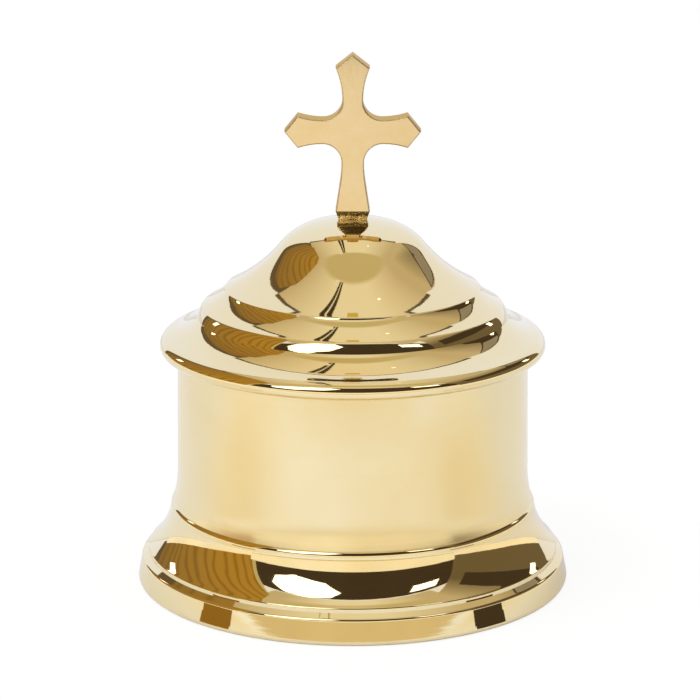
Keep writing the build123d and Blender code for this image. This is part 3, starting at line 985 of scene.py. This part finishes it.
class PYX_OT_drum_fixing(Operator):
    """Turn the stud, washer and nut that hold the drum on the foot"""

    bl_idname = "pyx.drum_fixing"
    bl_label = "Stud, washer and nut"

    def execute(self, context):
        sizes = context.scene.pyx_fixings
        segments = context.scene.pyx_stage.segments // 4
        brass, ease = finish("turned_brass"), sizes.edge_round
        drum_low = context.scene.pyx_drum.floor_height
        web_low = drum_low - context.scene.pyx_foot.sheet
        washer_low = web_low - sizes.washer_thickness

        radius, pitch = sizes.stud_radius, sizes.stud_pitch
        low, high = drum_low - sizes.stud_length, drum_low - ease
        pen = Pen(0, low, PLAIN_RUN)
        pen.line(radius - pitch / 2, low)
        pen.line(radius, low + pitch / 2)
        pen.line(radius, high, thread_run(high - low, pitch))
        pen.line(radius - ease, drum_low)
        pen.line(0, drum_low)
        turn_round(pen.mesh, segments)
        cut_thread(pen.mesh, radius, pitch, low, drum_low - 2 * ease)
        finished(
            "threaded_stud", pen.mesh, brass, "base", "drum_stud", SMOOTH_ANGLE)

        bore, outer = sizes.washer_bore, sizes.washer_radius
        middle = web_low - sizes.washer_thickness / 2
        pen = Pen(bore, middle)
        pen.corners(
            (bore, web_low, ease),
            (outer, web_low, ease),
            (outer, washer_low, ease),
            (bore, washer_low, ease),
            (bore, middle, 0))
        turn_round(pen.mesh, segments)
        finished("broad_washer", pen.mesh, brass, "base", "foot_washer")

        nut = self.draw_nut(sizes, washer_low - sizes.nut_height)
        even_flats(finished(
            "hexagon_nut", nut, brass, "base", "foot_nut", SMOOTH_ANGLE))
        return {"FINISHED"}

    def draw_nut(self, sizes, low):
        """A hexagon with a round bore, drawn up and with its lower corners turned off."""
        mesh = bmesh.new()
        flat, half_side = sizes.nut_flats / 2, pi / NUT_SIDES
        outer = bmesh.ops.create_circle(
            mesh, segments=NUT_SIDES, radius=flat / cos(half_side))["verts"]
        bmesh.ops.rotate(
            mesh, verts=outer, cent=(0, 0, 0), matrix=Matrix.Rotation(half_side, 3, "Z"))
        bmesh.ops.subdivide_edges(mesh, edges=mesh.edges[:], cuts=NUT_CUTS)
        bmesh.ops.create_circle(
            mesh, segments=NUT_SIDES * (NUT_CUTS + 1), radius=sizes.nut_bore)
        bmesh.ops.bridge_loops(mesh, edges=mesh.edges[:])
        bmesh.ops.translate(mesh, verts=mesh.verts, vec=(0, 0, low))
        high = points_in(bmesh.ops.extrude_face_region(mesh, geom=mesh.faces[:])["geom"])
        bmesh.ops.translate(mesh, verts=high, vec=(0, 0, sizes.nut_height))
        for vert in mesh.verts:
            over = hypot(vert.co.x, vert.co.y) - flat
            if over > 0 and vert.co.z < low + MERGE_DISTANCE:
                vert.co.z += over * tan(NUT_SLOPE)
        close_up(mesh)
        return mesh


class PYX_OT_cross_fixing(Operator):
    """Turn the screw and the cupped washer that hold the cross on the lid"""

    bl_idname = "pyx.cross_fixing"
    bl_label = "Screw and cupped washer"

    def execute(self, context):
        sizes, lid = context.scene.pyx_fixings, context.scene.pyx_lid
        segments = context.scene.pyx_stage.segments // 4
        brass, ease = finish("turned_brass"), sizes.edge_round
        crown_z = crown_height(context.scene)
        under = crown_z - lid.sheet
        washer_low = under - sizes.cup_thickness

        radius, pitch = sizes.screw_radius, sizes.screw_pitch
        head_low, tip = washer_low - sizes.head_height, crown_z + sizes.screw_grip
        pen = Pen(0, head_low, PLAIN_RUN)
        pen.corners(
            (sizes.head_radius, head_low, 2 * ease),
            (sizes.head_radius, washer_low, ease),
            (radius + ease, washer_low, 0))
        pen.line(radius, washer_low + ease)
        pen.line(radius, tip - pitch / 2, thread_run(sizes.screw_grip, pitch))
        pen.line(radius - pitch / 2, tip)
        pen.line(0, tip)
        turn_round(pen.mesh, segments)
        cut_thread(pen.mesh, radius, pitch, crown_z, tip)
        cut_slot(pen.mesh, sizes.slot_width, head_low, sizes.slot_depth)
        even_flats(finished(
            "slotted_screw", pen.mesh, brass, "lid", "finial_screw", SMOOTH_ANGLE))

        bore, outer = lid.hole_radius, sizes.cup_radius
        bend = lid.crown_radius - lid.sheet
        bore_top, outer_top = (
            under - bend + sqrt(bend ** 2 - away ** 2) for away in (bore, outer))
        pen = Pen(bore, washer_low + ease)
        pen.line(bore, bore_top)
        pen.curve(outer, outer_top, bend)
        pen.corners(
            (outer, washer_low, ease), (bore, washer_low, ease), (bore, washer_low + ease, 0))
        turn_round(pen.mesh, segments)
        finished("cupped_washer", pen.mesh, brass, "lid", "finial_washer")
        return {"FINISHED"}


def box(left, right, low, high):
    """Corners of a rectangle."""
    return (left, low), (right, low), (right, high), (left, high)


def plate(name, corners, material):
    """A flat plate of the stage through its corners."""
    mesh = bmesh.new()
    mesh.faces.new([mesh.verts.new(corner) for corner in corners])
    made = new_object(name, mesh, material)
    return made


def card(name, corners, material):
    """A plate that only the metal sees."""
    made = plate(name, corners, material)
    for ray in ("camera", "diffuse", "shadow", "transmission", "volume_scatter"):
        setattr(made, "visible_" + ray, False)


def glow(name, tone, strength=1.0):
    """An even card, with a faint unevenness."""
    material, shading = new_material(name)
    clouds = shading.noise(shading.place(), CARD_CLOUDS)
    uneven = shading.spread(clouds, (0.35, 0.65), (0.0, 0.3))
    shading.emit(shading.mix(uneven, tone, scaled(tone, CARD_DIM)), strength)
    return material


def wood(settings):
    """Wood with wavy upright grain, darker towards the back."""
    material, shading = new_material("board")
    waves = shading.node("TexWave", {
        "Vector": shading.stretched_place(BOARD_STRETCH), "Scale": BOARD_WAVES,
        "Distortion": BOARD_SWAY, "Detail": 2.0, "Detail Scale": 1.0},
        wave_type="BANDS", bands_direction="Y")
    lines = shading.spread(waves["Fac"], (0.0, 0.45))
    deep = shading.spread(shading.axes(shading.place())["Y"], (-0.1, 0.45), (0.0, 0.6))
    grain = shading.mix(lines, settings.wood_grain, settings.wood)
    shading.emit(shading.mix(deep, grain, settings.frame))
    return material


def shaded_cloth(settings):
    """The cloth of the shaded side, paler towards its top."""
    material, shading = new_material("right_side")
    high = shading.spread(shading.axes(shading.place())["Z"], (0.3, 0.6))
    shading.emit(shading.mix(high, settings.shade, settings.ceiling_side))
    return material


def ceiling_cloth(settings):
    """The ceiling's cloth, lit in its middle, with an oval of painted shadow towards the front."""
    material, shading = new_material("ceiling_cloth")
    aside = shading.math("ABSOLUTE", shading.axes(shading.place())["X"])
    outer = shading.spread(aside, (0.12, 0.45))
    tone = shading.mix(outer, settings.ceiling, settings.ceiling_side)
    # Painted shadow: a soft dim oval towards the front of the ceiling.
    moved = shading.node("VectorMath", {0: shading.place(), 1: OVAL_SHIFT}, operation="ADD")
    oval = shading.node("VectorMath", {0: moved[0], 1: OVAL_SHRINK}, operation="MULTIPLY")
    patch = shading.spread(shading.length(oval[0]), OVAL_EDGE, FALL)
    shading.emit(shading.mix(patch, tone, settings.ceiling_front))
    return material


class PYX_OT_stage(Operator):
    """Lay the floor, set the light and the cards that the metal mirrors, and place the camera"""

    bl_idname = "pyx.stage"
    bl_label = "Stage"

    def execute(self, context):
        scene = context.scene
        self.floor(scene.pyx_stage)
        self.light(scene, scene.pyx_stage)
        self.cards(scene.pyx_stage)
        self.camera(scene, scene.pyx_stage)
        scene.view_settings.view_transform = "Standard"
        return {"FINISHED"}

    def floor(self, settings):
        """A floor that is white in the picture and keeps a soft shadow; in the metal's reflections
        it has painted warm bounce light and shade at its sides.
        """
        material, shading = new_material("pale_floor")
        specks = shading.noise(shading.place(), FLOOR_SPECKS)
        speckled = shading.spread(specks, NOISE_SPAN, (0.0, 0.04))
        tone = shading.mix(speckled, settings.floor_colour, settings.floor_speck)
        axes = shading.axes(shading.place())
        # Painted warm bounce light and shade at the floor's sides, which only the metal sees.
        tint = shading.node("CombineXYZ", {
            "X": shading.math("SUBTRACT", shading.math("ABSOLUTE", axes["X"]), BOUNCE_ASIDE),
            "Y": shading.math("ADD", axes["Y"], BOUNCE_FORWARD)})
        painted_bounce = shading.spread(shading.length(tint[0]), BOUNCE_REACH, FALL)
        behind = shading.spread(axes["Y"], BACK_BLEND)
        mirrored = shading.mix(behind, settings.cool_floor, settings.back_floor)
        mirrored = shading.mix(painted_bounce, mirrored, settings.painted_bounce_floor)
        paths = shading.node("LightPath", {})
        matt = shading.node("BsdfDiffuse", {
            "Color": shading.mix(paths["Is Glossy Ray"], tone, mirrored)})
        white = shading.node("Emission", {"Color": WHITE, "Strength": 1.0})
        seen = shading.math("MULTIPLY", paths["Is Camera Ray"], FLOOR_WHITE)
        both = shading.node("MixShader", {0: seen, 1: matt[0], 2: white[0]})
        shading.node("OutputMaterial", {"Surface": both[0]})
        outline = box(-FLOOR_REACH, FLOOR_REACH, -FLOOR_REACH, FLOOR_REACH)
        plate("floor", [(x, y, 0) for x, y in outline], material)

    def light(self, scene, settings):
        """A white room all round, and one soft lamp above."""
        world = bpy.data.worlds.new("white_room")
        world.use_nodes = True
        scene.world = world
        shading = Shading(world.node_tree)
        glossy = shading.node("LightPath", {})["Is Glossy Ray"]
        tone = shading.mix(glossy, WHITE, settings.back_white)
        room = shading.node("Background", {"Color": tone, "Strength": 1.0})
        shading.node("OutputWorld", {"Surface": room[0]})

        lamp = bpy.data.lights.new("soft_lamp", "AREA")
        lamp.shape = "DISK"
        lamp.size = LAMP_SIZE
        lamp.energy = settings.lamp_power
        holder = bpy.data.objects.new("soft_lamp", lamp)
        holder.location = LAMP_PLACE
        holder.rotation_euler = (LAMP_AIM - holder.location).to_track_quat("-Z", "Y").to_euler()
        holder.visible_glossy = False
        scene.collection.objects.link(holder)

    def cards(self, settings):
        """The tent round the object, with its openings and the lamps outside it."""
        dark = glow("dark_opening", settings.dark)
        edge = glow("tent_frame", settings.frame)
        lamp = glow("lamp_white", WHITE, LAMP_GLOW)
        hem = glow("pale_hem", settings.hem)
        lip = glow("front_lip", settings.lip)
        strap = glow("strap", settings.strap)
        pane = glow("pane", settings.pane)
        brown = glow("brown", settings.wood_grain)
        cloth = ceiling_cloth(settings)
        back = [*[(-x, y) for x, y in reversed(BACK_HALF)], *BACK_HALF[1:]]
        seam = [
            (x, y + SEAM_WIDTH * (1 + SEAM_SPREAD * (x / SIDE) ** 2)) for x, y in reversed(back)]
        turns = [tau * number / BIG_LAMP_SIDES for number in range(BIG_LAMP_SIDES)]
        big_lamp = [BIG_LAMP_PLACE + BIG_LAMP_RADIUS * Vector((-sin(t), cos(t))) for t in turns]
        spot, strip = box(0.28, 0.33, 0.18, 0.26), box(-0.24, 0.5, 0.0, 0.04)
        for name, across, place, outline, material in (
                ("ceiling", "Z", CEILING, [*back, *CEILING_FRONT], cloth),
                ("ceiling_flap", "Z", FLAP, box(-0.043, -0.032, -0.046, -0.033), cloth),
                ("ceiling_seam", "Z", UNDER_CEILING, [*back, *seam], edge),
                ("ceiling_strap", "Z", UNDER_CEILING, box(-0.022, 0.022, 0.19, 0.24), strap),
                ("slit_left", "Z", UNDER_CEILING, SLIT_LEFT, dark),
                ("slit_right", "Z", UNDER_CEILING, SLIT_RIGHT, dark),
                ("ceiling_spot", "Z", UNDER_CEILING, box(0.146, 0.162, 0.074, 0.086), lamp),
                ("front_opening", "Y", FRONT, box(-0.765, 0.914, 0.0, 0.717), dark),
                ("big_lamp", "Y", FRONT_LAMPS, big_lamp, lamp),
                ("small_lamp", "Y", FRONT_LAMPS, box(0.36, 0.62, 0.45, 0.61), lamp),
                ("front_lip", "Y", LIP, box(-0.6, 0.6, 0.0, 0.016), lip),
                ("front_hem", "Y", LIP, box(-0.6, 0.6, 0.016, 0.08), hem),
                ("left_side", "X", -SIDE, BOARD, wood(settings)),
                ("left_frame", "X", -SIDE_BEHIND, BOARD_FRAME, edge),
                ("right_side", "X", SIDE, RIGHT_CLOTH, shaded_cloth(settings)),
                ("right_opening", "X", SIDE_NEARER, OPENING, dark),
                ("right_pane", "X", SIDE_PANE, PANE, pane),
                ("left_spot", "X", -SIDE_LAMPS, spot, lamp),
                ("right_spot", "X", SIDE_LAMPS, spot, lamp),
                ("left_strip", "X", -SIDE_NEARER, strip, hem),
                ("right_strip", "X", SIDE_NEARER, strip, hem)):
            axis = "XYZ".index(across)
            card(name, [(*point[:axis], place, *point[axis:]) for point in outline], material)
        card("front_post", POST, glow("post", settings.ceiling_front))
        for side, name, material in ((-1, "left", brown), (1, "right", dark)):
            for number, ((x, y), (next_x, next_y), height) in enumerate(BLOCKS):
                card("%s_block_%d" % (name, number), (
                    (side * x, y, 0.0), (side * x, y, height),
                    (side * next_x, next_y, height), (side * next_x, next_y, 0.0)), material)

    def camera(self, scene, settings):
        lens = bpy.data.cameras.new("camera")
        lens.sensor_width = SENSOR_WIDTH
        lens.lens = settings.camera_lens
        lens.clip_start = NEAR_CLIP
        camera = bpy.data.objects.new("camera", lens)
        camera.location = settings.camera_place
        camera.rotation_euler = (pi / 2 - settings.camera_pitch, 0, 0)
        scene.collection.objects.link(camera)
        scene.camera = camera


OPERATORS = (
    PYX_OT_drum,
    PYX_OT_foot,
    PYX_OT_lid,
    PYX_OT_bezel,
    PYX_OT_cross,
    PYX_OT_drum_fixing,
    PYX_OT_cross_fixing,
    PYX_OT_stage,
)

GROUPS = {
    "pyx_drum": PyxDrumSizes,
    "pyx_foot": PyxFootSizes,
    "pyx_lid": PyxLidSizes,
    "pyx_cross": PyxCrossSizes,
    "pyx_fixings": PyxFixingSizes,
    "pyx_finishes": PyxFinishes,
    "pyx_stage": PyxStageSettings,
}


class PYX_PT_panel(Panel):
    """Lists the steps that dress the pyx"""

    bl_idname = "PYX_PT_panel"
    bl_label = "Covered Pyx"
    bl_space_type = "VIEW_3D"
    bl_region_type = "UI"
    bl_category = "Pyx"

    def draw(self, context):
        for operator in OPERATORS:
            self.layout.operator(operator.bl_idname)


CLASSES = (*GROUPS.values(), *OPERATORS, PYX_PT_panel)


def register():
    for kind in CLASSES:
        bpy.utils.register_class(kind)
    for name, group in GROUPS.items():
        setattr(bpy.types.Scene, name, PointerProperty(type=group))


def unregister():
    for name in GROUPS:
        delattr(bpy.types.Scene, name)
    for kind in reversed(CLASSES):
        bpy.utils.unregister_class(kind)


def main():
    register()
    bpy.ops.pyx.drum()
    bpy.ops.pyx.foot()
    bpy.ops.pyx.lid()
    bpy.ops.pyx.bezel()
    bpy.ops.pyx.cross()
    bpy.ops.pyx.drum_fixing()
    bpy.ops.pyx.cross_fixing()
    bpy.ops.pyx.stage()


if __name__ == "__main__":
    main()
